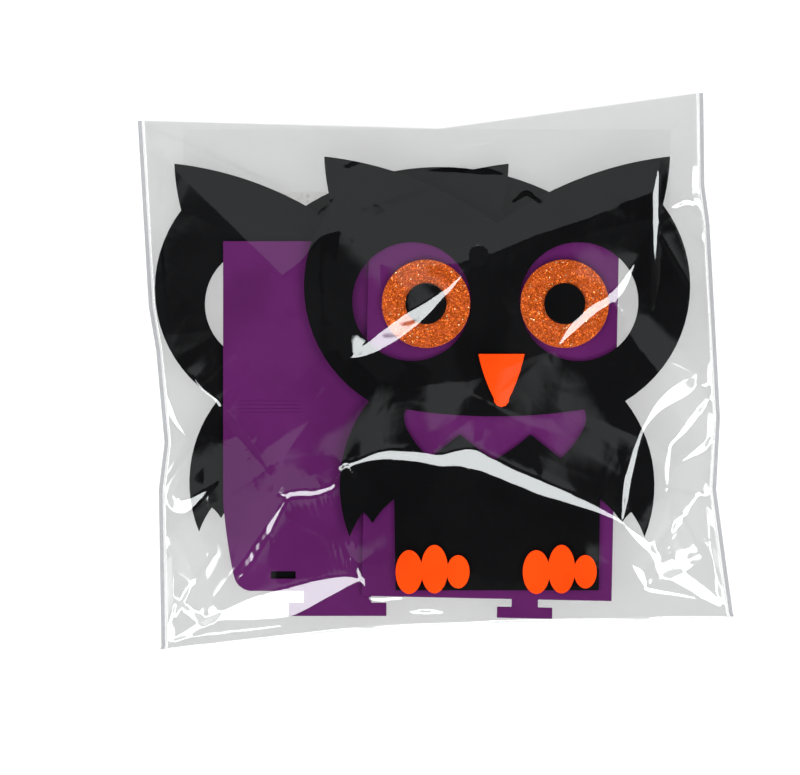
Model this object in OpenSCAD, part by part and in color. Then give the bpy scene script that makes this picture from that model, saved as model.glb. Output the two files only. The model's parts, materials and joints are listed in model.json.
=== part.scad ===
// Flat-packed owl puppet kit in a clear bag: two die-cut foam owls, each glued to a foam panel
// with lock tabs, and an arched carry handle. The bag lies on its back sheet, mouth towards +Y.

/* [Bag] */
// Width of the bag between its widest corners
bag_w = 228.4; // [228:0.1:232]
// Height of the bag between its furthest corners
bag_h = 212; // [212:0.1:216]
// Thickness of each sheet of the bag, as a stand-in for thin film
film_t = 0.3; // [0.2:0.05:0.4]
// Width of the flat weld along each side
seam_w = 1.4; // [1:0.1:1.6]
// Radius of the vent hole in the front sheet
vent_r = 3.8; // [3:0.1:5]
// Length of the closing flap from its fold to its free edge
flap_l = 34; // [25:0.5:34]
// Width of the closing flap
flap_w = 186; // [170:1:190]
// Width of the adhesive strip on the flap
adhesive_w = 8; // [6:0.5:12]

/* [Foam] */
// Thickness of the foam sheet of the owls, panels, beaks, feet and handle
foam_t = 1.5; // [1:0.1:1.5]
// Thickness of the glitter foam of the eye rings
glitter_t = 2; // [1.6:0.1:2]
// Thickness of the pupils
pupil_t = 1; // [0.8:0.1:1]
// Air between two layers that slide past each other
layer_gap = 0.3; // [0.3:0.05:0.35]

/* [Owl] */
// Half the distance between the ear tips
ear_x = 65.6; // [64:0.1:67]
// Height of the ear tips above the middle of the eyes
ear_y = 55.9; // [52:0.1:56]
// Height of the dip between the ears above the middle of the eyes
brow_y = 30.4; // [28:0.1:33]
// How far each side of the head bulges between ear and waist
cheek_bow = 16.9; // [12:0.1:17]
// Half the width of the waist
waist_x = 48.6; // [46:0.1:50]
// Half the width of the body under the wings
body_x = 39; // [36:0.1:40]
// Depth of the body's lower edge below the middle of the eyes
body_y = 108.7; // [105:0.1:109]
// Distance of each eye window from the middle
window_x = 31.7; // [31.7:0.1:32.5]
// Radius of the eye windows
window_r = 22.6; // [22.6:0.1:23]
// How far the three windows sit off the middle
window_shift = -0.7; // [-1:0.1:0]
// Half the width of the chest window
chest_x = 33.9; // [33:0.1:35]
// Size of the back owl against the front one
back_size = 0.97; // [0.95:0.01:0.97]

/* [Face] */
// Distance of each eye ring from the middle
eye_x = 26.3; // [26.3:0.1:27]
// Outer radius of the eye rings
ring_r = 16.8; // [15:0.1:16.8]
// Radius of the pupils
pupil_r = 7.8; // [6:0.1:9]
// Half the width of the beak at its top
beak_x = 8.8; // [7:0.1:10]
// Length of the beak
beak_l = 20.2; // [18:0.1:21.5]
// How far the beak is glued off the middle
beak_shift = 1.6; // [0:0.1:2]

/* [Panels] */
// Width of the front panel
front_panel_w = 95; // [92:0.5:96]
// Height of the front panel without its tab
front_panel_h = 136; // [130:0.5:136]
// Turn of the front panel on its owl, in degrees
front_panel_turn = -1.2; // [-1.5:0.1:0]
// Width of the back panel
back_panel_w = 87; // [84:0.5:88]
// Height of the back panel without its tab
back_panel_h = 133; // [130:0.5:134]
// Width of each slot in the back panel
slot_w = 9.4; // [8:0.1:11]
// Height of each slot in the back panel
slot_h = 2.8; // [2:0.1:3.5]
// Distance of each slot from the back panel's middle
slot_x = 20.6; // [18:0.1:22]

/* [Handle] */
// Outer radius of the handle's arch
handle_r = 96; // [94:0.5:97]
// Width of the handle's band
handle_w = 22; // [18:0.5:23]
// Angle from the middle of the arch to each end
handle_a = 42; // [38:1:42]

/* [Hidden] */
$fn = 96;

black = [0.07, 0.07, 0.075];
purple = [0.37, 0.13, 0.38];
glitter = [0.75, 0.33, 0.1];
orange = [1, 0.3, 0.03];
clear = [0.85, 0.9, 0.95, 0.3];
tape = [0.8, 0.8, 0.75, 0.6];

// Where each puppet's eye line crosses its middle, and each panel's middle
front_at = [22.6, 25.5];
back_at = [-36.5, 24.7];
front_panel_at = [20, -18.4];
back_panel_at = [-38, -17.1];
handle_at = [1, -18.2];
vent_at = [15.6, 43.5];

// The bag's back sheet rises here over the folded flap
flap_rise = 0.9;
rise_from = 54;
rise_to = 56.5;
flap_from = [-97, 92.3];
flap_t = 0.25;
adhesive_inset = [4, 2];
adhesive_t = 0.15;

// Heights of the layers, from the back sheet up
back_top = flap_rise + film_t;
handle_z = back_top + layer_gap;
back_panel_z = handle_z + foam_t + layer_gap + pupil_t + glitter_t;
front_panel_z = back_panel_z + foam_t + layer_gap;
front_owl_z = front_panel_z + foam_t;
front_face_z = front_owl_z + foam_t;
front_pupil_z = front_owl_z + glitter_t;
bag_front_z = front_pupil_z + pupil_t + layer_gap;
seam_z = bag_front_z * 0.42;

// The bag's edges, each from the mouth down or from left to right
left_edge = [[-bag_w / 2, 95.4], [-110.5, 33], [-110, 24.5], [-107.2, 8], [-104, -27.4],
    [-106.2, -45.2], [-106.6, -bag_h / 2]];
right_edge = [[101.3, bag_h / 2], [101.7, 70.7], [103.6, 56.6], [107.7, -17.5], [106.2, -45.2],
    [bag_w / 2, -93.5]];
mouth_dip = [1, 92.4];
bottom_edge = [left_edge[6], [-20.3, -96.9], [33.3, -95], right_edge[5]];

// Right half of the owl, clockwise: x, y, and how far the line to the next point bows out
owl_half = [[0, brow_y, 4.6], [ear_x, ear_y, 0.5], [ear_x - 2.7, ear_y - 18.3, cheek_bow],
    [waist_x, -36.9, 7], [55.9, -88.5, -0.4], [50.9, -79, -0.3], [47.3, -83.2, -0.6],
    [body_x, -74, 0], [body_x - 0.5, -body_y, 0], [0, -body_y, 0]];
// Right half of the chest window, whose lower edge is toothed
chest_half = [[0, -42.7, -0.7], [chest_x, -40, 1], [chest_x - 0.6, -48, 0.6], [24.9, -58.8, 0],
    [13.4, -49.6, 0.4], [0, -59.3, 0]];
// Right half of the beak, from its flat top to its rounded tip
beak_half = [[0, 0, 0], [beak_x, 0, 0.6], [3, 3.5 - beak_l, 1], [0, -beak_l, 0]];
// Right half of the back panel, which narrows to rounded lower corners over its wide lock tab
back_panel_half = [[0, back_panel_h / 2, 0], [back_panel_w / 2, back_panel_h / 2, 0],
    [back_panel_w / 2, -32, 0.5], [back_panel_w / 2 - 4, 6 - back_panel_h / 2, 1.4],
    [back_panel_w / 2 - 10, -back_panel_h / 2, 0], [12.8, -back_panel_h / 2, 0],
    [12.8, -back_panel_h / 2 - 4.5, 0], [18.6, -back_panel_h / 2 - 4.5, 0],
    [18.6, -back_panel_h / 2 - 9.5, 0], [0, -back_panel_h / 2 - 9.5, 0]];
// Toes of a foot: x and y from the foot's middle, half width, half height
toes = [[-9.3, -0.5, 5.1, 8.3], [0.3, 0.6, 5.1, 9.2], [9.3, -0.4, 4.3, 6.3]];
foot_x = 24.1;
foot_y = -101.2;
beak_y = -19;
window_y = 0.8;

// Points of a round arc from a up to b, b left out, whose middle stands bow to the left of a-b
function arc(a, b, bow) =
    bow == 0 ? [a] :
    let (chord = norm(b - a), along = (b - a) / chord, out = [-along.y, along.x],
        r = (chord * chord / 4 + bow * bow) / (2 * bow), mid = (a + b) / 2 + out * (bow - r),
        half = asin(chord / 2 / r), steps = ceil(chord / 5) + 2)
    [for (i = [0:steps - 1]) let (t = half * (2 * i / steps - 1))
        mid + r * (sin(t) * along + cos(t) * out)];

// Points of an outline given by rows of x, y and bow
function bowed(rows) = [for (i = [0:len(rows) - 2])
    each arc([rows[i].x, rows[i].y], [rows[i + 1].x, rows[i + 1].y], rows[i].z)];

// A right half from top middle to bottom middle, closed by its mirror image
function both_halves(rows) =
    let (right = bowed(rows), last = rows[len(rows) - 1])
    concat(right, [[last.x, last.y]],
        [for (i = [len(right) - 1:-1:1]) [-right[i].x, right[i].y]]);

function reversed(points) = [for (i = [len(points) - 1:-1:0]) points[i]];
function moved(points, by) = [for (p = points) p + by];

// The band between an edge moved by near and the same edge moved by far
module band(edge, near, far)
    polygon(concat(moved(edge, near), reversed(moved(edge, far))));

module bag_area()
    polygon(concat(reversed(left_edge), [mouth_dip], right_edge,
        [bottom_edge[2], bottom_edge[1]]));

module seam_bands() {
    band(left_edge, [-1, 0], [seam_w, 0]);
    band(right_edge, [-seam_w, 0], [1, 0]);
}

module fold_band()
    band(bottom_edge, [0, -1], [0, film_t]);

// Everything up to the back sheet's upper face, raised over the flap
module under_back_sheet(thickness) {
    half_y = bag_h / 2 + 1;
    lower = [[-half_y, 0], [rise_from, 0], [rise_to, flap_rise], [half_y, flap_rise]];
    rotate([90, 0, 90])
        translate([0, 0, -bag_w / 2 - 1])
            linear_extrude(bag_w + 2)
                polygon(concat(moved(lower, [0, film_t - thickness]),
                    reversed(moved(lower, [0, film_t]))));
}

// The flat weld and the upright wall of film inside it
module side_seam(edge, inward) {
    color(clear) {
        translate([0, 0, seam_z])
            linear_extrude(2 * film_t)
                band(edge, [0, 0], [inward * seam_w, 0]);
        difference() {
            linear_extrude(bag_front_z)
                difference() {
                    band(edge, [inward * seam_w, 0], [inward * (seam_w + film_t), 0]);
                    fold_band();
                }
            under_back_sheet(5);
        }
    }
}

module owl_sheet()
    linear_extrude(foam_t)
        difference() {
            polygon(both_halves(owl_half));
            translate([window_shift, 0]) {
                for (side = [-1, 1])
                    translate([side * window_x, window_y])
                        circle(window_r);
                polygon(both_halves(chest_half));
            }
        }

module lock_tab(neck_w, neck_l, bar_w, bar_h) {
    translate([-neck_w / 2, -neck_l - 1])
        square([neck_w, neck_l + 2]);
    translate([-bar_w / 2, -neck_l - bar_h])
        square([bar_w, bar_h]);
}

module eye_ring(side)
    color(glitter)
        linear_extrude(glitter_t)
            translate([side * eye_x + window_shift, 0])
                circle(ring_r);

module pupil(side)
    color(black)
        linear_extrude(pupil_t)
            translate([side * eye_x + window_shift, 0])
                circle(pupil_r);

module beak()
    color(orange)
        linear_extrude(foam_t)
            translate([beak_shift, beak_y])
                polygon(both_halves(beak_half));

// Three overlapping oval toes, each drawn as a ring of points
module foot(side)
    color(orange)
        linear_extrude(foam_t)
            translate([side * foot_x, foot_y])
                for (toe = toes)
                    translate([toe[0], toe[1]])
                        polygon([for (a = [0:7.5:352.5]) [toe[2] * cos(a), toe[3] * sin(a)]]);

module on_front_owl(z)
    translate([front_at.x, front_at.y, z])
        children();

// The back owl lies face down, so its face is built upwards and turned over
module on_back_owl(z)
    translate([back_at.x, back_at.y, z])
        rotate([0, 180, 0])
            scale(back_size)
                children();

module bag_back()
    color(clear)
        intersection() {
            under_back_sheet(film_t);
            linear_extrude(back_top + 1)
                difference() {
                    bag_area();
                    seam_bands();
                    fold_band();
                }
        }

module bag_front()
    color(clear)
        translate([0, 0, bag_front_z])
            linear_extrude(film_t)
                difference() {
                    bag_area();
                    seam_bands();
                    fold_band();
                    translate(vent_at)
                        circle(vent_r);
                }

module bottom_fold()
    color(clear)
        linear_extrude(bag_front_z + film_t)
            difference() {
                band(bottom_edge, [0, 0], [0, film_t]);
                seam_bands();
            }

module side_seam_left() side_seam(left_edge, 1);
module side_seam_right() side_seam(right_edge, -1);

module bag_flap()
    color(clear)
        translate([flap_from.x, flap_from.y - flap_l, 0])
            cube([flap_w, flap_l, flap_t]);

module flap_adhesive()
    color(tape)
        translate([flap_from.x + adhesive_inset.x, flap_from.y - flap_l + adhesive_inset.y, flap_t])
            cube([flap_w - 2 * adhesive_inset.x, adhesive_w, adhesive_t]);

module front_owl() color(black) on_front_owl(front_owl_z) owl_sheet();

module front_panel()
    color(purple)
        translate([front_panel_at.x, front_panel_at.y, front_panel_z])
            rotate(front_panel_turn)
                linear_extrude(foam_t) {
                    square([front_panel_w, front_panel_h], center = true);
                    translate([14.6, -front_panel_h / 2])
                        lock_tab(10, 3, 21, 4.2);
                }

module front_eye_ring_left() on_front_owl(front_owl_z) eye_ring(-1);
module front_eye_ring_right() on_front_owl(front_owl_z) eye_ring(1);
module front_pupil_left() on_front_owl(front_pupil_z) pupil(-1);
module front_pupil_right() on_front_owl(front_pupil_z) pupil(1);
module front_beak() on_front_owl(front_face_z) beak();
module front_foot_left() on_front_owl(front_face_z) foot(-1);
module front_foot_right() on_front_owl(front_face_z) foot(1);

module back_owl() color(black) on_back_owl(back_panel_z) owl_sheet();

module back_panel()
    color(purple)
        translate([back_panel_at.x, back_panel_at.y, back_panel_z])
            linear_extrude(foam_t)
                difference() {
                    polygon(both_halves(back_panel_half));
                    for (side = [-1, 1])
                        translate([side * slot_x, 6.1 - back_panel_h / 2])
                            square([slot_w, slot_h], center = true);
                }

module back_eye_ring_left() on_back_owl(back_panel_z) eye_ring(-1);
module back_eye_ring_right() on_back_owl(back_panel_z) eye_ring(1);
module back_pupil_left() on_back_owl(back_panel_z - back_size * glitter_t) pupil(-1);
module back_pupil_right() on_back_owl(back_panel_z - back_size * glitter_t) pupil(1);
module back_beak() on_back_owl(back_panel_z - back_size * foam_t) beak();
module back_foot_left() on_back_owl(back_panel_z - back_size * foam_t) foot(-1);
module back_foot_right() on_back_owl(back_panel_z - back_size * foam_t) foot(1);

module carry_handle()
    color(black)
        translate([handle_at.x, handle_at.y, handle_z])
            linear_extrude(foam_t)
                intersection() {
                    difference() {
                        circle(handle_r);
                        circle(handle_r - handle_w);
                    }
                    polygon(2 * handle_r * [[0, 0], [-sin(handle_a), cos(handle_a)],
                        [sin(handle_a), cos(handle_a)]]);
                }

bag_back();
bag_front();
bottom_fold();
side_seam_left();
side_seam_right();
bag_flap();
flap_adhesive();
front_owl();
front_panel();
front_eye_ring_left();
front_eye_ring_right();
front_pupil_left();
front_pupil_right();
front_beak();
front_foot_left();
front_foot_right();
back_owl();
back_panel();
back_eye_ring_left();
back_eye_ring_right();
back_pupil_left();
back_pupil_right();
back_beak();
back_foot_left();
back_foot_right();
carry_handle();
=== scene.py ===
"""Looks of the flat-packed owl puppet kit: crinkled clear bag, foam owls, glitter eyes and panels.

Lengths are in millimetres until a mesh is made. +Y is the bag's mouth and +Z is up.
"""

import json
import math

import bmesh
import bpy
import numpy as np
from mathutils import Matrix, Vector
from mathutils.bvhtree import BVHTree
from mathutils.geometry import delaunay_2d_cdt

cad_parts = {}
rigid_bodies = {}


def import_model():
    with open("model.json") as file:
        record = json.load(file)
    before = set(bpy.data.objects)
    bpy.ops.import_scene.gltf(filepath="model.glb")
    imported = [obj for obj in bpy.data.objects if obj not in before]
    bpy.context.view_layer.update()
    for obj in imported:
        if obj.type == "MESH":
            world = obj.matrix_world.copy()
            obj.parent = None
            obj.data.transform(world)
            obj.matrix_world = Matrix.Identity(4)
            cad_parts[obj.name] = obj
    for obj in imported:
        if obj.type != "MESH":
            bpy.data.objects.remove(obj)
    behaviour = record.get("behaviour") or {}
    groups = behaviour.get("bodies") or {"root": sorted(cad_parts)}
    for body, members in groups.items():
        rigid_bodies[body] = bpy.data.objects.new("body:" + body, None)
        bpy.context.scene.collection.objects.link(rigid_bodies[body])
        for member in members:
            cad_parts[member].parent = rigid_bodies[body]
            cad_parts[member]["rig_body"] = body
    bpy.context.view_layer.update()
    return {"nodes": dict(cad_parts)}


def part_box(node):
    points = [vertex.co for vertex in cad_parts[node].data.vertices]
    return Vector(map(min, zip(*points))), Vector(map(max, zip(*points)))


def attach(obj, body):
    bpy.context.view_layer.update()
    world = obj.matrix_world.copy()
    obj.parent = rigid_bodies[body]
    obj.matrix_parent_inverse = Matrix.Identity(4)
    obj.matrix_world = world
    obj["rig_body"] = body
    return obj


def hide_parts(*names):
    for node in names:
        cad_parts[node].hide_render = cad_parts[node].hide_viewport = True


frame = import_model()

MM = 0.001
SEED = 11

# ---------------------------------------------------------------- sizes

WELD_W = 1.4
WELD_T = 0.18
# Columns and rows of points in the two big sheets
FILM_GRID = (313, 289)
BACK_GRID = (313, 97)
VENT_AT = np.array([15.6, 43.5])
VENT_R = 3.8
# Points this near the vent's edge are moved onto it
VENT_SNAP = 0.4
FILM_OVER_FOAM = 0.45
# Lowest that the front sheet lies where there is no foam
OPEN_FILM_Z = 1.3
# Height of the front sheet's rim: at least this, and this share of foam that comes near
RIM_LOW = 7.5
RIM_SHARE = 0.96
# Height of the welds, as a share of the rim's
WELD_SHARE = 0.45
# The back sheet lies here, and rises over the folded flap
BACK_SHEET_Z = 0.35
FLAP_RISE = 0.75
FLAP_RISE_FROM_Y = 54
FLAP_Z = 0.1
FOAM_ROUNDING = 0.25
FOLD_BULGE = 0.7

# Folds of the front sheet: the slope of each one's strip, and its path as x, y and width.
# The strip rises to the side nearer the mouth.
FOLDS = {
    "belly": (0.5, [(-36, -36.5, 1.2), (-28.5, -34, 1.8), (-20, -32, 3.6), (-8.5, -32.5, 4.2),
        (1, -34, 4.8), (8, -33, 6.5), (13, -33.5, 8), (18.5, -35.5, 6.6), (27.5, -39.5, 6),
        (41, -45, 5.6), (58, -51.5, 3), (68.5, -56.5, 1)]),
    "belly hook": (0.5, [(-39.5, -43.5, 0.9), (-37, -38.5, 1.2), (-35, -35, 1.6),
        (-32.5, -38.5, 0.9)]),
    "bar": (0.5, [(-57.5, -47, 2.6), (-52, -46.5, 3), (-45.5, -46, 2.6), (-39.5, -44, 1)]),
    "hem": (0.5, [(-86.5, -94, 5.5), (-82.5, -88, 5.2), (-75, -77, 3.8), (-66.5, -64, 3),
        (-61, -54.5, 2), (-57, -48, 1)]),
    "big lens": (0.5, [(-85.5, -94, 1.5), (-77, -92, 6), (-66.5, -89.5, 10), (-56, -87.5, 11),
        (-44.5, -83, 8), (-35, -80, 4.5), (-30, -79.5, 1)]),
    "corner low left": (0.5, [(-105, -104.5, 1), (-98, -101, 2.6), (-85.5, -94, 3)]),
    "hem line": (0.5, [(-98, -101.5, 0.9), (-79, -99, 1.2), (-60, -97, 0.9)]),
    "lens low": (0.5, [(-34, -69.5, 1), (-31.5, -74.5, 3), (-28.5, -80, 0.9)]),
    "left patch": (0.5, [(-104.5, -48.5, 1), (-101, -50, 4.5), (-97, -51.5, 6), (-92, -49, 3.4),
        (-85.5, -44, 1)]),
    "left crumple": (0.5, [(-101, -63.5, 1), (-96.5, -72, 5), (-97, -83, 6.5), (-101.5, -97.5, 2)]),
    "left crumple line": (0.5, [(-86, -70.5, 1), (-94, -82.5, 1.5), (-104.5, -100, 1)]),
    "left crease a": (0.5, [(-104.5, -5.5, 1), (-102.5, -14, 2), (-98.5, -20.5, 1.4),
        (-95, -26.5, 0.9)]),
    "left crease b": (0.5, [(-93, -2.5, 0.9), (-88.5, -7.5, 1.4), (-83, -12, 0.9)]),
    "left crease c": (0.5, [(-95, -28.5, 0.9), (-99.5, -37, 1.2), (-104.5, -44, 0.9)]),
    "panel streak": (0.27, [(-83, -13, 1.5), (-75, -23.5, 3), (-69.5, -31, 2.2), (-65, -37, 0.8)]),
    "top left": (0.5, [(-111, 94, 0.8), (-99, 88.5, 1.3), (-82.5, 81, 1.5), (-70, 74.5, 1.3),
        (-55, 68, 0.8)]),
    "ear twig": (0.4, [(-45.5, 58, 0.8), (-43.5, 61, 1.2), (-41.5, 63.5, 0.8)]),
    "ear line": (0.4, [(-32, 78.5, 1), (-22, 82.5, 0.9), (-8, 87, 0.7)]),
    "handle top": (0.25, [(-3, 76, 1), (8, 76.5, 3), (17, 76, 3), (25, 74.5, 1)]),
    "left eye": (0.5, [(-32, 5.5, 1.2), (-27, 8, 4), (-19.5, 12.5, 6), (-12, 18, 6.4),
        (-5, 23, 4.6), (1.5, 28.5, 2.4), (9.5, 36, 0.8)]),
    "right eye": (0.36, [(46.5, 10.5, 1.2), (51, 16, 3.2), (58, 22.5, 3.8), (66.5, 28, 4.2),
        (71, 33.5, 3.2), (74.5, 40.5, 1)]),
    "speck": (0.5, [(30.5, 65.5, 0.8), (33.5, 67.5, 1.6), (36.5, 65.5, 0.8)]),
    "top right": (0.4, [(93.5, 98.5, 0.8), (90, 92.5, 1), (85.5, 87.5, 0.7)]),
    "right patch": (0.5, [(89.5, 62.5, 1), (95, 64, 2.6), (101.5, 64, 2)]),
    "right crinkle a": (0.5, [(97, 62.5, 1.6), (101, 58, 2.4), (100, 53, 1.2)]),
    "right crinkle b": (0.5, [(98, 50.5, 1), (101.5, 47.5, 2.4), (104, 44.5, 1)]),
    "ear shine": (0.5, [(85.5, 49, 0.7), (89.5, 41.5, 1.1), (95, 32, 0.7)]),
    "right cheek": (0.5, [(78, -22, 1), (83, -14.5, 3.4), (89, -9.5, 6), (95, -5.5, 5.4),
        (98, -2, 1)]),
    "right tooth": (0.5, [(100, -5.5, 1), (103, -6, 3), (103, -10.5, 1)]),
    "waist": (0.5, [(78, -22, 0.8), (75, -30, 2.4), (72.5, -40, 3), (71, -49, 2.2), (70, -56, 1)]),
    "fan a": (0.5, [(103, -10.5, 0.9), (98, -16.5, 2.6), (93, -23, 2.4), (88.5, -28, 0.9)]),
    "fan b": (0.5, [(88.5, -28, 0.9), (87, -36.5, 2), (87, -45, 0.9)]),
    "fan c": (0.5, [(93.5, -34, 1), (100, -29.5, 3), (107, -23, 2.2)]),
    "fan d": (0.5, [(88, -45, 1), (96, -46.5, 1.6), (105.5, -47.5, 1.2)]),
    "fan e": (0.5, [(88.5, -46.5, 0.9), (100, -68, 1.2), (112.5, -91, 0.9)]),
    "fan f": (0.5, [(100, -64.5, 0.8), (106, -76, 1.6), (113.5, -91, 0.9)]),
    "star": (0.5, [(87.5, -49, 1.2), (86.5, -57.5, 4.5), (84.5, -66, 8), (86, -73, 8.5),
        (92, -78, 6), (101.5, -84.5, 4.6), (112.5, -92.5, 1.2)]),
    "star left": (0.5, [(70, -57.5, 1), (74.5, -62, 2.6), (81, -67.5, 4)]),
    "star foot": (0.5, [(73.5, -73, 1), (77, -77, 3.6), (79, -82.5, 1)]),
    "star line": (0.5, [(79, -83, 0.9), (88.5, -84.5, 1.2), (98, -86.5, 0.9)]),
    "glint": (0.5, [(-9.5, -91.5, 0.8), (-4.5, -91, 2.2), (1, -91.5, 0.8)]),
    "tab glint": (0.5, [(-25, -86.5, 0.9), (-20.5, -86.5, 1.3), (-15, -86, 0.8)]),
}
# How gently the sheet falls away behind a fold's ridge, and how soon past its ends a fold is gone
RIDGE_SLOPE = 0.065
END_FADE = 4
# How far a fold's edge strays, and how far beside a fold the sheet takes to settle
WOBBLE = 0.22
SETTLE = 9
# Where the front sheet starts to slope down towards the mouth, and how steeply
VEIL_EDGE = [(-103.5, 84), (-101, 78.5), (-58.5, 36), (-51.5, 41.5), (-44, 50.5),
             (-37.5, 53), (-31, 50), (-22, 41), (-14.5, 39.5), (5, 40.5), (11.5, 41.5),
             (20, 44), (36.5, 51), (57, 57.5), (74.5, 65), (81.5, 67.5), (84, 80),
             (100, 95.5)]
VEIL_SLOPE = 0.09
VEIL_TOP = 88
# Layers of crumple facets: spacing, how much longer than wide, turn in radians, and depth
CRUMPLES = [(26, 1.8, 0.6, 0.22), (12, 2.4, -0.5, 0.08), (5.5, 1.8, 1.3, 0.022)]

# ---------------------------------------------------------------- shader wiring


class Wire:
    """An output of a shader node. Arithmetic on wires and numbers adds the nodes that work it out."""

    def __init__(self, tree, socket):
        self.tree = tree
        self.socket = socket

    def node(self, kind, settings=(), inputs=(), output=0):
        """Adds a node of this kind to the same tree and returns one of its outputs."""
        made = self.tree.nodes.new(kind)
        for key, value in dict(settings).items():
            setattr(made, key, value)
        for key, value in dict(inputs).items():
            if isinstance(value, Wire):
                self.tree.links.new(value.socket, made.inputs[key])
            else:
                made.inputs[key].default_value = value
        return Wire(self.tree, made.outputs[output] if made.outputs else None)

    def maths(self, operation, *values):
        inputs = dict(enumerate((self,) + values))
        return self.node("ShaderNodeMath", {"operation": operation}, inputs)

    def __add__(self, other):
        return self.maths("ADD", other)

    def __radd__(self, other):
        return self.maths("ADD", other)

    def __mul__(self, other):
        return self.maths("MULTIPLY", other)

    def __rmul__(self, other):
        return self.maths("MULTIPLY", other)

    def __sub__(self, other):
        return self.maths("SUBTRACT", other)

    def __rsub__(self, other):
        return self.node("ShaderNodeMath", {"operation": "SUBTRACT"}, {0: other, 1: self})

    def fade(self, start, end, low=0.0, high=1.0):
        """Goes smoothly from low at start to high at end."""
        if start > end:
            start, end, low, high = end, start, high, low
        inputs = {"Value": self, "From Min": start, "From Max": end, "To Min": low, "To Max": high}
        return self.node("ShaderNodeMapRange", {"interpolation_type": "SMOOTHSTEP"}, inputs)

    def mix(self, first, second):
        """The first colour where this wire is 0, the second where it is 1."""
        inputs = {0: self, 6: first, 7: second}
        return self.node("ShaderNodeMix", {"data_type": "RGBA"}, inputs, 2)

    def noise(self, scale, detail=3.0, roughness=0.5):
        """Cloudy noise at this many features a metre, on a position wire."""
        inputs = {"Vector": self, "Scale": scale, "Detail": detail, "Roughness": roughness}
        return self.node("ShaderNodeTexNoise", (), inputs)

    def axis(self, name):
        """One coordinate of a position wire."""
        return self.node("ShaderNodeSeparateXYZ", (), {0: self}, name)

    def gloss_share(self, head_on, normal):
        """Share of light that a film mirrors: head_on when seen squarely, all of it at a glance."""
        inputs = {"Blend": 0.5, "Normal": normal}
        glance = self.node("ShaderNodeLayerWeight", (), inputs, "Facing")
        return glance.maths("POWER", 5) * (1 - head_on) + head_on

    def bump(self, distance):
        """A normal for this wire taken as a height, up to this distance."""
        return self.node("ShaderNodeBump", (), {"Height": self, "Distance": distance})


def colour(red, green, blue):
    return (red, green, blue, 1.0)


def new_material(name):
    """An empty material and a wire that carries a point's place in its object."""
    material = bpy.data.materials.new(name)
    material.use_nodes = True
    tree = material.node_tree
    tree.nodes.clear()
    place = Wire(tree, tree.nodes.new("ShaderNodeTexCoord").outputs["Object"])
    return material, place


def surface(wire, shader):
    wire.node("ShaderNodeOutputMaterial", (), {"Surface": shader})


# ---------------------------------------------------------------- finishes


def film_finish(name, crinkle=0.05, tint=0.87, gloss_head_on=0.13):
    """Thin clear film: see-through, with a mirror gloss that follows its crinkles."""
    material, place = new_material(name)
    fine = place.noise(260, 4, 0.6)
    coarse = place.noise(70, 2, 0.5)
    normal = (fine * 0.3 + coarse).bump(crinkle * MM)
    facing = place.gloss_share(gloss_head_on, normal)
    clear = place.node("ShaderNodeBsdfTransparent", (), {"Color": colour(tint, tint, tint)})
    gloss = place.node("ShaderNodeBsdfAnisotropic", (), {"Color": colour(1, 1, 1),
                                                         "Roughness": 0.045, "Normal": normal})
    surface(place, place.node("ShaderNodeMixShader", (), {"Fac": facing, 1: clear, 2: gloss}))
    return material


def weld_finish():
    """Two films melted together: milky, with fine cross ribs left by the sealing bar."""
    material, place = new_material("weld")
    ribs = (place.axis("Y") * (2 * math.pi / (1.1 * MM))).maths("SINE")
    normal = ribs.bump(0.04 * MM)
    facing = place.gloss_share(0.1, normal)
    clear = place.node("ShaderNodeBsdfTransparent", (), {"Color": colour(0.62, 0.62, 0.63)})
    milk = place.node("ShaderNodeBsdfPrincipled", (), {"Base Color": colour(0.6, 0.61, 0.63),
                                                       "Roughness": 0.3, "Normal": normal})
    share = facing * 0.8 + place.noise(400).fade(0.3, 0.7, 0.02, 0.08)
    surface(place, place.node("ShaderNodeMixShader", (), {"Fac": share, 1: clear, 2: milk}))
    return material


def adhesive_finish():
    """A clear tacky strip with small trapped bubbles."""
    material, place = new_material("adhesive")
    bubbles = place.noise(900, 1).fade(0.58, 0.66)
    clear = place.node("ShaderNodeBsdfTransparent", (), {"Color": colour(0.985, 0.985, 0.98)})
    tack = place.node("ShaderNodeBsdfPrincipled", (), {
        "Base Color": colour(0.8, 0.78, 0.7), "Roughness": 0.35,
        "Normal": bubbles.bump(0.05 * MM)})
    share = bubbles * 0.1 + 0.02
    surface(place, place.node("ShaderNodeMixShader", (), {"Fac": share, 1: clear, 2: tack}))
    return material


def foam_finish(name, deep, pale, roughness=0.82, specular=0.05, creases=None):
    """Closed-cell craft foam: matte skin with a fine grain and faint cloudy shade changes."""
    material, place = new_material(name)
    cloud = place.noise(35, 3).fade(0.3, 0.7)
    grain = place.noise(2600, 2, 0.6)
    pores = place.noise(1100, 1).fade(0.62, 0.72)
    shade = cloud * 0.55 + grain * 0.45
    base = shade.mix(deep, pale)
    height = grain * 0.6 - pores * 0.5
    if creases is not None:
        height = height - creases(place)
    surface(place, place.node("ShaderNodeBsdfPrincipled", (), {
        "Base Color": base, "Roughness": grain.fade(0.2, 0.8, roughness - 0.1, roughness + 0.1),
        "Specular IOR Level": specular, "Normal": height.bump(0.05 * MM)}))
    return material


def panel_creases(place):
    """Four fine parallel creases pressed into the back panel, under the owl's wing."""
    x = place.axis("X")
    y = place.axis("Y")
    rows = ((y * (1 / (1.4 * MM))) + 0.5).maths("FRACT") - 0.5
    line = rows.maths("ABSOLUTE").fade(0.22, 0.08)
    inside_x = x.fade(-77 * MM, -74 * MM) * x.fade(-50 * MM, -54 * MM)
    inside_y = y.fade(-16.4 * MM, -15.9 * MM) * y.fade(-10.6 * MM, -11.1 * MM)
    return line * inside_x * inside_y * 3


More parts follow.
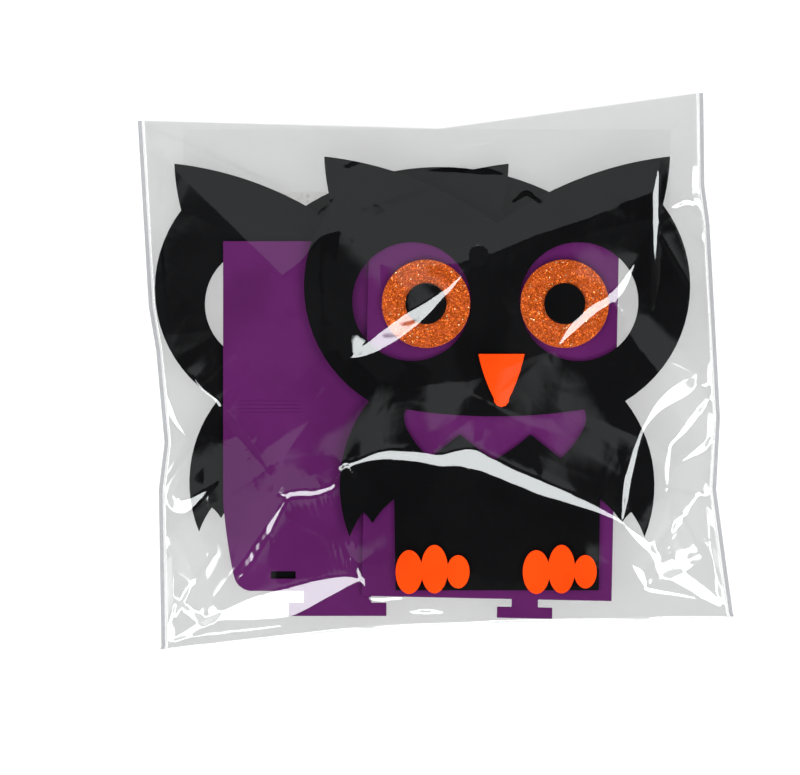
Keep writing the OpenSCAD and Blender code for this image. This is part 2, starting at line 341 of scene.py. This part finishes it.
def glitter_sheet_finish():
    """The glue skin that the flakes sit in."""
    material, place = new_material("glitter_foam")
    cells = place.node("ShaderNodeTexVoronoi", (), {"Vector": place, "Scale": 1900.0}, "Distance")
    grain = place.noise(1500, 2)
    base = grain.fade(0.3, 0.7).mix(colour(0.36, 0.045, 0.002), colour(0.62, 0.1, 0.005))
    surface(place, place.node("ShaderNodeBsdfPrincipled", (), {
        "Base Color": base, "Roughness": 0.45, "Metallic": 0.3,
        "Normal": cells.bump(0.15 * MM)}))
    return material


def flake_finish():
    """Metallic flakes, each of its own tone, from deep copper to pale gold."""
    material, place = new_material("glitter_flake")
    tone = place.node("ShaderNodeAttribute", {"attribute_name": "flake_tone"}, (), "Fac")
    warm = tone.mix(colour(0.46, 0.048, 0.001), colour(0.88, 0.17, 0.003))
    base = tone.fade(0.97, 0.995).mix(warm, colour(1.0, 0.75, 0.4))
    surface(place, place.node("ShaderNodeBsdfPrincipled", (), {
        "Base Color": base, "Roughness": tone.fade(0, 1, 0.32, 0.18), "Metallic": 0.6}))
    return material


FILM = film_finish("film")
BACK_FILM = film_finish("film_back", crinkle=0.04)
FLAP_FILM = film_finish("film_flap", crinkle=0.03, tint=0.985, gloss_head_on=0.04)
WELD = weld_finish()
ADHESIVE = adhesive_finish()
BLACK_FOAM = foam_finish("black_foam", colour(0.0022, 0.0022, 0.0025),
                         colour(0.0048, 0.0048, 0.0052), specular=0.025)
PURPLE_FOAM = foam_finish("purple_foam", colour(0.07, 0.0075, 0.07), colour(0.105, 0.014, 0.106))
CREASED_FOAM = foam_finish("purple_foam_creased", colour(0.07, 0.0075, 0.07),
                           colour(0.105, 0.014, 0.106), creases=panel_creases)
ORANGE_FOAM = foam_finish("orange_foam", colour(0.85, 0.05, 0.002), colour(0.98, 0.075, 0.004))
GLITTER_FOAM = glitter_sheet_finish()
FLAKE = flake_finish()

# ---------------------------------------------------------------- meshes


def node_points(name):
    """A CAD node's vertices in millimetres."""
    mesh = frame["nodes"][name].data
    co = np.empty(len(mesh.vertices) * 3)
    mesh.vertices.foreach_get("co", co)
    return co.reshape(-1, 3) / MM


def add_piece(name, points, faces, material, smooth=True):
    """A mesh object from points in millimetres."""
    mesh = bpy.data.meshes.new(name)
    mesh.from_pydata([tuple(p) for p in np.asarray(points) * MM], [], faces)
    mesh.materials.append(material)
    mesh.polygons.foreach_set("use_smooth", [smooth] * len(mesh.polygons))
    piece = bpy.data.objects.new(name, mesh)
    bpy.context.scene.collection.objects.link(piece)
    return piece


def grid_faces(rows, columns, keep=None):
    """The quads of a grid of points, counter-clockwise from above."""
    index = np.arange(rows * columns).reshape(rows, columns)
    quads = np.stack([index[:-1, :-1], index[:-1, 1:], index[1:, 1:], index[1:, :-1]], -1)
    quads = quads.reshape(-1, 4)
    if keep is not None:
        quads = quads[keep.ravel()[quads].all(1)]
    return quads.tolist()


def drop_loose(piece):
    """Deletes the points that no face uses."""
    shape = bmesh.new()
    shape.from_mesh(piece.data)
    loose = [v for v in shape.verts if not v.link_faces]
    bmesh.ops.delete(shape, geom=loose, context="VERTS")
    shape.to_mesh(piece.data)
    shape.free()


# ---------------------------------------------------------------- the bag's outline


def weld_line(name, side):
    """The outer edge of a side weld, from the bottom up; side is -1 on the left, 1 on the right."""
    points = node_points(name)
    level = points[np.argmax(side * points[:, 0]), 2]
    flange = points[np.abs(points[:, 2] - level) < 0.01]
    heights = sorted(set(np.round(flange[:, 1], 2)))
    rows = [flange[np.abs(flange[:, 1] - y) < 0.02] for y in heights]
    return np.array([row[np.argmax(side * row[:, 0]), :2] for row in rows])


def corner_line(name, first, last, side):
    """An end of the bag from corner to corner, through the CAD node's own corners between."""
    points = node_points(name)[:, :2]
    between = points[(points[:, 0] > first[0] + 5) & (points[:, 0] < last[0] - 5)]
    stations = sorted(set(np.round(between[:, 0], 1)))
    rows = [between[np.abs(between[:, 0] - x) < 0.1] for x in stations]
    middle = [row[np.argmax(side * row[:, 1])] for row in rows]
    return np.array([first, *middle, last])


def even_steps(line, count):
    """A line's points at equal steps along it."""
    steps = np.r_[0, np.cumsum(np.linalg.norm(np.diff(line, axis=0), axis=1))]
    at = np.linspace(0, steps[-1], count)
    return np.stack([np.interp(at, steps, line[:, k]) for k in range(line.shape[1])], -1)


LEFT = weld_line("side_seam_left", -1)
RIGHT = weld_line("side_seam_right", 1)
LEFT_IN = LEFT + [WELD_W, 0]
RIGHT_IN = RIGHT - [WELD_W, 0]
BOTTOM = corner_line("bottom_fold", LEFT_IN[0], RIGHT_IN[0], -1)
mouth_points = node_points("bag_front")
mouth_dip = min((p for p in mouth_points.tolist() if p[1] > 80), key=lambda p: p[1])
MOUTH = np.array([LEFT_IN[-1], mouth_dip[:2], RIGHT_IN[-1]])


def sheet_plan(columns, rows):
    """Plan positions of a film sheet's grid, spread evenly between the bag's four edges."""
    u = np.linspace(0, 1, columns)[None, :, None]
    v = np.linspace(0, 1, rows)[:, None, None]
    left, right = even_steps(LEFT_IN, rows)[:, None], even_steps(RIGHT_IN, rows)[:, None]
    low, high = even_steps(BOTTOM, columns)[None], even_steps(MOUTH, columns)[None]
    sides = (1 - u) * left + u * right
    ends = (1 - v) * low + v * high
    corners = ((1 - u) * (1 - v) * low[:, :1] + u * (1 - v) * low[:, -1:]
               + (1 - u) * v * high[:, :1] + u * v * high[:, -1:])
    return sides + ends - corners


# ---------------------------------------------------------------- what lies in the bag

FOAM_NODES = [n for b in ("front_puppet", "back_puppet", "handle")
              for n, o in frame["nodes"].items() if o["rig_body"] == b]


def foam_tree():
    """A search tree of every foam piece's faces."""
    points, faces = [], []
    for name in FOAM_NODES:
        mesh = frame["nodes"][name].data
        start = len(points)
        points += [v.co / MM for v in mesh.vertices]
        faces += [[start + i for i in p.vertices] for p in mesh.polygons]
    return BVHTree.FromPolygons(points, faces)


def looked_down(tree, plan, missing=0.0):
    """Height of the first surface under each plan position."""
    out = np.full(plan.shape[:2], missing)
    for row, line in enumerate(plan):
        for column, (x, y) in enumerate(line):
            hit = tree.ray_cast(Vector((x, y, 60)), Vector((0, 0, -1)))[0]
            if hit is not None:
                out[row, column] = hit.z
    return out


def resized(grid, rows, columns):
    """A grid of values stretched to another number of rows and columns."""
    old_rows, old_columns = grid.shape
    across = np.linspace(0, old_columns - 1, columns)
    wide = np.array([np.interp(across, np.arange(old_columns), line) for line in grid])
    down = np.linspace(0, old_rows - 1, rows)
    return np.array([np.interp(down, np.arange(old_rows), line) for line in wide.T]).T


def blurred(grid, rounds):
    for _ in range(rounds):
        padded = np.pad(grid, 1, mode="edge")
        grid = (padded[:-2, 1:-1] + padded[2:, 1:-1] + padded[1:-1, :-2] + padded[1:-1, 2:]) / 4
    return grid


def drape(under, edge):
    """A film pulled over what is under it and fixed at its edge: coarse grids first, then fine."""
    rows, columns = under.shape
    height = None
    for step, rounds in ((8, 400), (4, 300), (2, 200), (1, 80)):
        size = ((rows - 1) // step + 1, (columns - 1) // step + 1)
        block = under[::step, ::step]
        rim = edge[::step, ::step]
        height = np.maximum(block, rim) if height is None else resized(height, *size)
        fixed = np.zeros(size, bool)
        fixed[0], fixed[-1], fixed[:, 0], fixed[:, -1] = True, True, True, True
        for _ in range(rounds):
            padded = np.pad(height, 1, mode="edge")
            mean = (padded[:-2, 1:-1] + padded[2:, 1:-1]
                    + padded[1:-1, :-2] + padded[1:-1, 2:]) / 4
            height = np.where(fixed, rim, np.maximum(block, mean))
    return height


# ---------------------------------------------------------------- folds and crumples


def smooth_path(path, steps=5):
    """A curve through the path's points, as many short straight stretches."""
    p = np.array(path, float)
    ends = np.vstack([2 * p[0] - p[1], p, 2 * p[-1] - p[-2]])
    t = np.linspace(0, 1, steps, endpoint=False)[:, None]
    curve = []
    for a, b, c, d in zip(ends, ends[1:], ends[2:], ends[3:]):
        curve.append(0.5 * (2 * b + (c - a) * t + (2 * a - 5 * b + 4 * c - d) * t ** 2
                            + (3 * b - a - 3 * c + d) * t ** 3))
    return np.vstack([*curve, p[-1:]])


def fold_height(plan, wobble, slope, path):
    """A strip that rises across the path to a low ridge, behind which the sheet falls gently.

    Returns the height it adds and the distance of each point from the strip.
    """
    best = np.full(plan.shape[:2], np.inf)
    across, width, past = (np.zeros(plan.shape[:2]) for _ in range(3))
    side = 1 if path[-1][0] > path[0][0] else -1
    curve = smooth_path(path)
    last = len(curve) - 2
    for k, ((ax, ay, aw), (bx, by, bw)) in enumerate(zip(curve, curve[1:])):
        along = np.array([bx - ax, by - ay])
        length = math.hypot(*along)
        rel = plan - [ax, ay]
        share = rel @ along / length ** 2
        t = np.clip(share, 0, 1)
        gap = np.linalg.norm(rel - t[..., None] * along, axis=-1)
        turn = np.sign(along[0] * rel[..., 1] - along[1] * rel[..., 0])
        nearer = gap < best
        best = np.where(nearer, gap, best)
        across = np.where(nearer, gap * turn * side, across)
        width = np.where(nearer, aw + t * (bw - aw), width)
        before = np.clip(-share, 0, None) * (k == 0)
        after = np.clip(share - 1, 0, None) * (k == last)
        past = np.where(nearer, (before + after) * length, past)
    width = np.clip(width, 0.7, None)
    lift = slope * width * np.clip(1 - past / END_FADE, 0, 1)
    reach = np.clip(lift / RIDGE_SLOPE, 14, 60)
    rise = np.clip((across + wobble) / width + 0.5, 0, 1)
    beyond = np.clip((across - width / 2) / reach, 0, 1)
    return lift * rise * (1 - beyond), np.clip(best - width / 2, 0, None)


def crumple(draw, spacing, stretch=1.0, turn=0.0):
    """Flat facets between random points, as heights from -1 to 1; stretch makes them long."""
    span = 260
    count = int((span / spacing) ** 2)
    spots = draw.uniform(-span / 2, span / 2, (count, 2))
    c, s = math.cos(turn), math.sin(turn)
    turned = spots @ np.array([[c, -s], [s, c]])
    turned[:, 0] /= stretch
    faces = delaunay_2d_cdt([Vector(p) for p in turned], [], [], 0, 1e-6)
    heights = draw.uniform(-1, 1, count)
    points = [Vector((x, y, h)) for (x, y), h in zip(spots.tolist(), heights)]
    order = [originals[0] for originals in faces[3]]
    triangles = [[order[i] for i in f] for f in faces[2]]
    return BVHTree.FromPolygons(points, triangles)


def edge_distances(plan):
    """Rough distances of each grid point from the side edges, the bottom and the mouth."""
    rows, columns = plan.shape[:2]
    across = np.linalg.norm(plan[:, -1] - plan[:, 0], axis=-1)[:, None]
    down = np.linalg.norm(plan[-1] - plan[0], axis=-1)[None]
    u = np.linspace(0, 1, columns)[None]
    v = np.linspace(0, 1, rows)[:, None]
    return np.minimum(u, 1 - u) * across + 0 * v, v * down + 0 * u, (1 - v) * down + 0 * u


def rim_heights(contents):
    """Height of the sheet just inside its edges: nearly level with the foam that comes near."""
    spread = contents.copy()
    for _ in range(45):
        padded = np.pad(spread, 1, mode="edge") - 0.05
        spread = np.maximum.reduce([spread, padded[:-2, 1:-1], padded[2:, 1:-1],
                                    padded[1:-1, :-2], padded[1:-1, 2:]])
    return blurred(np.maximum(spread * RIM_SHARE, RIM_LOW), 80)


def veil_lift(plan):
    """Extra height that tips the upper part of the sheet towards the mouth, below VEIL_TOP."""
    edge_x, edge_y = np.array(VEIL_EDGE, float).T
    boundary = np.minimum(np.interp(plan[..., 0], edge_x, edge_y), VEIL_TOP)
    above = plan[..., 1] - boundary
    ridge = VEIL_SLOPE * (VEIL_TOP - boundary)
    lift = np.where(above > 0, ridge - VEIL_SLOPE * above, ridge * (1 + above / 45))
    return np.clip(lift, 0, None)


def build_front_sheet():
    """The front sheet, draped over the foam, with its folds, crumples and vent hole."""
    columns, rows = FILM_GRID
    plan = sheet_plan(columns, rows)
    across = plan - VENT_AT
    reach = np.linalg.norm(across, axis=-1)
    ring = np.abs(reach - VENT_R) < VENT_SNAP
    plan = np.where(ring[..., None], VENT_AT + across * (VENT_R / reach)[..., None], plan)

    foam = looked_down(foam_tree(), plan)
    rim = rim_heights(foam)
    under = np.where(foam > 0, foam + FILM_OVER_FOAM, OPEN_FILM_Z)
    height = drape(under, rim)
    at_side, at_bottom, at_mouth = edge_distances(plan)
    near_edge = np.clip(np.minimum(np.minimum(at_side, at_bottom) / 4, at_mouth / 9), 0, 1)

    draw = np.random.default_rng(SEED)
    wobble = WOBBLE * looked_down(crumple(draw, 5), plan)
    lift = veil_lift(plan)
    folds, clear_of = 0, np.inf
    for slope, path in FOLDS.values():
        rise, away = fold_height(plan, wobble, slope, path)
        folds = folds + rise
        clear_of = np.minimum(clear_of, away)
    calm = np.clip(clear_of / SETTLE, 0, 1)
    lift = lift + folds * (1 - calm) + blurred(folds, 70) * calm
    for spacing, stretch, turn, size in CRUMPLES:
        facets = looked_down(crumple(draw, spacing, stretch, turn), plan)
        lift = lift + (facets + 1) * size
    height = height + lift * near_edge

    height[:, [0, -1]] = WELD_SHARE * rim[:, [0, -1]]
    points = np.dstack([plan, height]).reshape(-1, 3)
    keep = reach > VENT_R - VENT_SNAP
    piece = add_piece("film_front", points, grid_faces(rows, columns, keep), FILM)
    drop_loose(piece)
    return piece, WELD_SHARE * rim, height[0]


front_sheet, weld_level, hem_height = build_front_sheet()


def build_back_sheet():
    """The back sheet: flat on the table under the foam, up to meet the front sheet at its edges."""
    columns, rows = BACK_GRID
    plan = sheet_plan(columns, rows)
    edge = resized(weld_level, rows, columns)
    flat = BACK_SHEET_Z + FLAP_RISE * np.clip((plan[..., 1] - FLAP_RISE_FROM_Y) / 3, 0, 1)
    at_side, at_bottom = edge_distances(plan)[:2]
    draw = np.random.default_rng(SEED + 1)
    facets = looked_down(crumple(draw, 14, 1.8, 0.3), plan)
    dimple = 0.15 * facets * np.clip(np.minimum(at_side, at_bottom) / 6, 0, 1)
    height = flat + dimple
    height[:, [0, -1]] = edge[:, [0, -1]]
    points = np.dstack([plan, height]).reshape(-1, 3)
    return add_piece("film_back", points, grid_faces(rows, columns), BACK_FILM)


back_sheet = build_back_sheet()


def build_weld(name, outer, inner, edge_height):
    """A flat welded strip along one side: a thin closed band from the outer edge inwards."""
    count = 160
    out_line, in_line = even_steps(outer, count), even_steps(inner, count)
    at = np.interp(np.linspace(0, 1, count), np.linspace(0, 1, len(edge_height)), edge_height)
    half = WELD_T / 2
    rows = []
    for k in range(count):
        o, i, z = out_line[k], in_line[k], at[k]
        rows.append([(*o, z - half), (*i, z - half), (*i, z + half), (*o, z + half)])
    points = np.array(rows).reshape(-1, 3)
    faces = []
    for k in range(count - 1):
        for c in range(4):
            a, b = 4 * k + c, 4 * k + (c + 1) % 4
            faces.append([a, b, b + 4, a + 4])
    faces += [[3, 2, 1, 0], [4 * count - 4, 4 * count - 3, 4 * count - 2, 4 * count - 1]]
    piece = add_piece(name, points, faces, WELD, smooth=False)
    outward(piece)
    return piece


def outward(piece):
    shape = bmesh.new()
    shape.from_mesh(piece.data)
    bmesh.ops.recalc_face_normals(shape, faces=shape.faces)
    shape.to_mesh(piece.data)
    shape.free()


left_weld = build_weld("weld_left", LEFT, LEFT_IN, weld_level[:, 0])
right_weld = build_weld("weld_right", RIGHT, RIGHT_IN, weld_level[:, -1])


def build_bottom_fold():
    """The fold at the bottom, where the front sheet turns round into the back sheet."""
    count, turns = len(hem_height), 9
    points = []
    for (x, y), top in zip(even_steps(BOTTOM, count), hem_height):
        half = (top - BACK_SHEET_Z) / 2
        for k in range(turns):
            a = math.pi * (k / (turns - 1) - 0.5)
            z = BACK_SHEET_Z + half * (1 + math.sin(a))
            points.append((x, y - FOLD_BULGE * math.cos(a), z))
    return add_piece("fold_bottom", points, grid_faces(count, turns), FILM)


bottom_fold = build_bottom_fold()


def build_flap():
    """The closing flap, folded flat behind the bag, with small ripples."""
    low, high = (np.array(corner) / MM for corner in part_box("bag_flap"))
    columns, rows = 94, 18
    x, y = np.meshgrid(np.linspace(low[0], high[0], columns), np.linspace(low[1], high[1], rows))
    plan = np.dstack([x, y])
    draw = np.random.default_rng(SEED + 2)
    facets = looked_down(crumple(draw, 16), plan)
    points = np.dstack([plan, FLAP_Z + 0.05 * (facets + 1)]).reshape(-1, 3)
    return add_piece("film_flap", points, grid_faces(rows, columns), FLAP_FILM)


def build_adhesive():
    """The adhesive strip on the flap, as a thin closed slab with rounded ends."""
    low, high = (np.array(corner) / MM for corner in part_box("flap_adhesive"))
    middle = (low + high) / 2
    half_l, half_w = (high[0] - low[0]) / 2, (high[1] - low[1]) / 2
    round_r = 1.5
    ring = []
    for k in range(32):
        a = 2 * math.pi * k / 32
        cx = math.copysign(half_l - round_r, math.cos(a))
        cy = math.copysign(half_w - round_r, math.sin(a))
        ring.append((middle[0] + cx + round_r * math.cos(a), middle[1] + cy + round_r * math.sin(a)))
    points = [(x, y, low[2] + 0.02) for x, y in ring] + [(x, y, high[2]) for x, y in ring]
    faces = [list(range(31, -1, -1)), list(range(32, 64))]
    faces += [[k, (k + 1) % 32, 32 + (k + 1) % 32, 32 + k] for k in range(32)]
    return add_piece("adhesive_strip", points, faces, ADHESIVE, smooth=False)


flap = build_flap()
adhesive = build_adhesive()

# ---------------------------------------------------------------- foam


def softened(node, material, rounding=FOAM_ROUNDING):
    """A copy of a CAD foam piece with its cut edges rounded, shown in its place."""
    source = frame["nodes"][node]
    shape = bmesh.new()
    shape.from_mesh(source.data)
    bmesh.ops.remove_doubles(shape, verts=shape.verts, dist=1e-6)
    bmesh.ops.dissolve_limit(shape, angle_limit=math.radians(0.5), verts=shape.verts,
                             edges=shape.edges)
    sharp = [e for e in shape.edges if e.is_manifold and e.calc_face_angle(0) > math.radians(60)]
    bmesh.ops.bevel(shape, geom=sharp, offset=rounding * MM, segments=2, profile=0.5,
                    affect="EDGES", clamp_overlap=True)
    bmesh.ops.triangulate(shape, faces=[f for f in shape.faces if len(f.verts) > 4])
    mesh = bpy.data.meshes.new(node + "_foam")
    shape.to_mesh(mesh)
    shape.free()
    mesh.materials.append(material)
    piece = bpy.data.objects.new(node + "_foam", mesh)
    bpy.context.scene.collection.objects.link(piece)
    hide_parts(node)
    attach(piece, source["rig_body"])
    return piece


for puppet in ("front", "back"):
    softened(puppet + "_owl", BLACK_FOAM)
    softened(puppet + "_panel", PURPLE_FOAM if puppet == "front" else CREASED_FOAM)
    softened(puppet + "_beak", ORANGE_FOAM)
    for side in ("left", "right"):
        softened(f"{puppet}_eye_ring_{side}", GLITTER_FOAM)
        softened(f"{puppet}_pupil_{side}", BLACK_FOAM)
        softened(f"{puppet}_foot_{side}", ORANGE_FOAM)
softened("carry_handle", BLACK_FOAM)


# ---------------------------------------------------------------- glitter


def flake_tree():
    """Geometry Nodes that scatter tilted six-sided flakes over a flat ring."""
    tree = bpy.data.node_groups.new("glitter flakes", "GeometryNodeTree")
    sockets = tree.interface
    sockets.new_socket("Ring", in_out="INPUT", socket_type="NodeSocketGeometry")
    for name, kind, value in (("Flakes per square metre", "Float", 4.6e6),
                              ("Flake radius", "Float", 0.00029),
                              ("Tilt", "Float", 0.42), ("Seed", "Int", 3)):
        made = sockets.new_socket(name, in_out="INPUT", socket_type="NodeSocket" + kind)
        made.default_value = value
    sockets.new_socket("Finish", in_out="INPUT", socket_type="NodeSocketMaterial")
    sockets.new_socket("Flakes", in_out="OUTPUT", socket_type="NodeSocketGeometry")
    inlet = tree.nodes.new("NodeGroupInput")

    def add(kind, settings=(), **inputs):
        node = tree.nodes.new(kind)
        for key, value in dict(settings).items():
            setattr(node, key, value)
        for key, value in inputs.items():
            socket = node.inputs[key.replace("_", " ")]
            if isinstance(value, bpy.types.NodeSocket):
                tree.links.new(value, socket)
            else:
                socket.default_value = value
        return node

    def random_between(low, high, seed):
        node = add("FunctionNodeRandomValue", {"data_type": "FLOAT"})
        tree.links.new(seed, node.inputs["Seed"])
        plugs = [s for s in node.inputs if s.type == "VALUE" and s.enabled]
        for plug, value in zip(plugs, (low, high)):
            if isinstance(value, bpy.types.NodeSocket):
                tree.links.new(value, plug)
            else:
                plug.default_value = value
        return [s for s in node.outputs if s.enabled][0]

    def stepped(seed, step):
        node = add("ShaderNodeMath", {"operation": "ADD"})
        tree.links.new(seed, node.inputs[0])
        node.inputs[1].default_value = step
        return node.outputs[0]

    seed = inlet.outputs["Seed"]
    tilt = inlet.outputs["Tilt"]
    minus = add("ShaderNodeMath", {"operation": "MULTIPLY"})
    tree.links.new(tilt, minus.inputs[0])
    minus.inputs[1].default_value = -1
    scatter = add("GeometryNodeDistributePointsOnFaces", {"distribute_method": "RANDOM"},
                  Mesh=inlet.outputs["Ring"], Seed=seed,
                  Density=inlet.outputs["Flakes per square metre"])
    lean = add("ShaderNodeCombineXYZ", (),
               X=random_between(minus.outputs[0], tilt, stepped(seed, 1)),
               Y=random_between(minus.outputs[0], tilt, stepped(seed, 2)),
               Z=random_between(0, 2 * math.pi, stepped(seed, 3)))
    turn = add("FunctionNodeRotateRotation", {"rotation_space": "LOCAL"},
               Rotation=scatter.outputs["Rotation"], Rotate_By=lean.outputs[0])
    flake = add("GeometryNodeMeshCircle", {"fill_type": "NGON"}, Vertices=6,
                Radius=inlet.outputs["Flake radius"])
    spread = add("GeometryNodeInstanceOnPoints", (), Points=scatter.outputs["Points"],
                 Instance=flake.outputs["Mesh"], Rotation=turn.outputs[0],
                 Scale=random_between(0.6, 1.3, stepped(seed, 4)))
    toned = add("GeometryNodeStoreNamedAttribute", {"data_type": "FLOAT", "domain": "INSTANCE"},
                Geometry=spread.outputs["Instances"], Name="flake_tone",
                Value=random_between(0, 1, stepped(seed, 5)))
    real = add("GeometryNodeRealizeInstances", (), Geometry=toned.outputs["Geometry"])
    finished = add("GeometryNodeSetMaterial", (), Geometry=real.outputs["Geometry"],
                   Material=inlet.outputs["Finish"])
    outlet = tree.nodes.new("NodeGroupOutput")
    tree.links.new(finished.outputs["Geometry"], outlet.inputs["Flakes"])
    return tree


def ring_face(node, pupil_node):
    """A flat ring over the glitter that shows around the pupil, facing away from the owl."""
    low, high = (np.array(c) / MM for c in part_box(node))
    pupil_low, pupil_high = (np.array(c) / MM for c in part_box(pupil_node))
    centre = (low + high) / 2
    up = 1 if pupil_high[2] > high[2] else -1
    level = (high[2] if up > 0 else low[2]) + up * 0.05
    inner = (pupil_high[0] - pupil_low[0]) / 2 + 0.15
    outer = (high[0] - low[0]) / 2 - 0.4
    points, count = [], 72
    for k in range(count):
        a = 2 * math.pi * k / count
        for r in (inner, outer):
            points.append((centre[0] + r * math.cos(a), centre[1] + r * math.sin(a), level))
    faces = []
    for k in range(count):
        a, b = 2 * k, 2 * ((k + 1) % count)
        quad = [a, a + 1, b + 1, b]
        faces.append(quad if up > 0 else quad[::-1])
    return points, faces


def glitter(puppet, tree):
    """The flakes of one puppet's two eye rings, as one plain mesh."""
    points, faces = [], []
    for side in ("left", "right"):
        more, quads = ring_face(f"{puppet}_eye_ring_{side}", f"{puppet}_pupil_{side}")
        faces += [[i + len(points) for i in quad] for quad in quads]
        points += more
    base = add_piece(puppet + "_glitter_base", points, faces, FLAKE, smooth=False)
    modifier = base.modifiers.new("flakes", "NODES")
    modifier.node_group = tree
    inputs = {s.name: s.identifier for s in tree.interface.items_tree if s.in_out == "INPUT"}
    modifier[inputs["Finish"]] = FLAKE
    modifier[inputs["Seed"]] = 3 if puppet == "front" else 8
    evaluated = base.evaluated_get(bpy.context.evaluated_depsgraph_get())
    mesh = bpy.data.meshes.new_from_object(evaluated)
    mesh.name = puppet + "_glitter"
    bpy.data.objects.remove(base)
    piece = bpy.data.objects.new(puppet + "_glitter", mesh)
    bpy.context.scene.collection.objects.link(piece)
    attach(piece, puppet + "_puppet")
    return piece


FLAKES = flake_tree()
for puppet in ("front", "back"):
    glitter(puppet, FLAKES)

# ---------------------------------------------------------------- what each bag piece stands for

for piece, node, slot in ((front_sheet, "bag_front", "film"), (back_sheet, "bag_back", "film"),
                          (bottom_fold, "bottom_fold", "film"), (left_weld, "side_seam_left", "weld"),
                          (right_weld, "side_seam_right", "weld"), (flap, "bag_flap", "film"),
                          (adhesive, "flap_adhesive", "adhesive")):
    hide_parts(node)
    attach(piece, "flap" if "flap" in node else "bag")

# ---------------------------------------------------------------- studio

TABLE_GLOW = 0.8
FILL_LIGHT = 2.6


def build_floor():
    """A wide pale table top that glows gently, like a light table."""
    material, place = new_material("table")
    tone = place.noise(3).fade(0.2, 0.8)
    base = tone.mix(colour(0.22, 0.22, 0.22), colour(0.24, 0.24, 0.24))
    surface(place, place.node("ShaderNodeBsdfPrincipled", (), {
        "Base Color": base, "Roughness": 0.9, "Specular IOR Level": 0.1,
        "Emission Color": colour(1, 1, 1), "Emission Strength": TABLE_GLOW}))
    half = 1500
    points = [(-half, -half, -0.1), (half, -half, -0.1), (half, half, -0.1), (-half, half, -0.1)]
    floor = add_piece("floor", points, [[0, 1, 2, 3]], material, smooth=False)


def build_light():
    """A soft dome, dark overhead, with a bright arc beyond the bag's foot, and a fill lamp."""
    world = bpy.data.worlds.new("studio")
    bpy.context.scene.world = world
    world.use_nodes = True
    tree = world.node_tree
    tree.nodes.clear()
    way = Wire(tree, tree.nodes.new("ShaderNodeTexCoord").outputs["Generated"])
    up = way.axis("Z")
    ahead = way.axis("Y")
    tilt = up.maths("ARCCOSINE") * (180 / math.pi)
    veil = tilt.fade(8, 12) * tilt.fade(42, 34) * ahead.fade(-0.02, 0.1, 0.08, 1.0)
    arc = tilt.fade(37, 41) * tilt.fade(66, 61) * ahead.fade(0.35, 0.1, 0.08, 1.0)
    low = tilt.fade(61, 66)
    level = veil * 0.22 + arc * 5.4 + low * 0.4 + 0.004
    glow = way.node("ShaderNodeBackground", (), {"Color": colour(0.95, 0.99, 1),
                                                 "Strength": level})
    way.node("ShaderNodeOutputWorld", (), {"Surface": glow})

    lamp = bpy.data.objects.new("fill", bpy.data.lights.new("fill", "SUN"))
    lamp.data.energy = FILL_LIGHT
    lamp.data.angle = math.radians(100)
    lamp.visible_glossy = False
    bpy.context.scene.collection.objects.link(lamp)


def build_camera():
    """Looks straight down at the bag from far enough away to have little perspective."""
    data = bpy.data.cameras.new("camera")
    camera = bpy.data.objects.new("camera", data)
    bpy.context.scene.collection.objects.link(camera)
    bpy.context.scene.camera = camera
    distance, view_width = 1600, 304
    contents_top = 8
    camera.location = Vector((-14.25, -6.27, contents_top + distance)) * MM
    data.sensor_width = 36
    data.lens = data.sensor_width * distance / view_width
    data.clip_end = 20


build_floor()
build_light()
build_camera()
bpy.context.scene.view_settings.view_transform = "Standard"
bpy.context.scene.cycles.transparent_max_bounces = 24

bpy.context.view_layer.update()
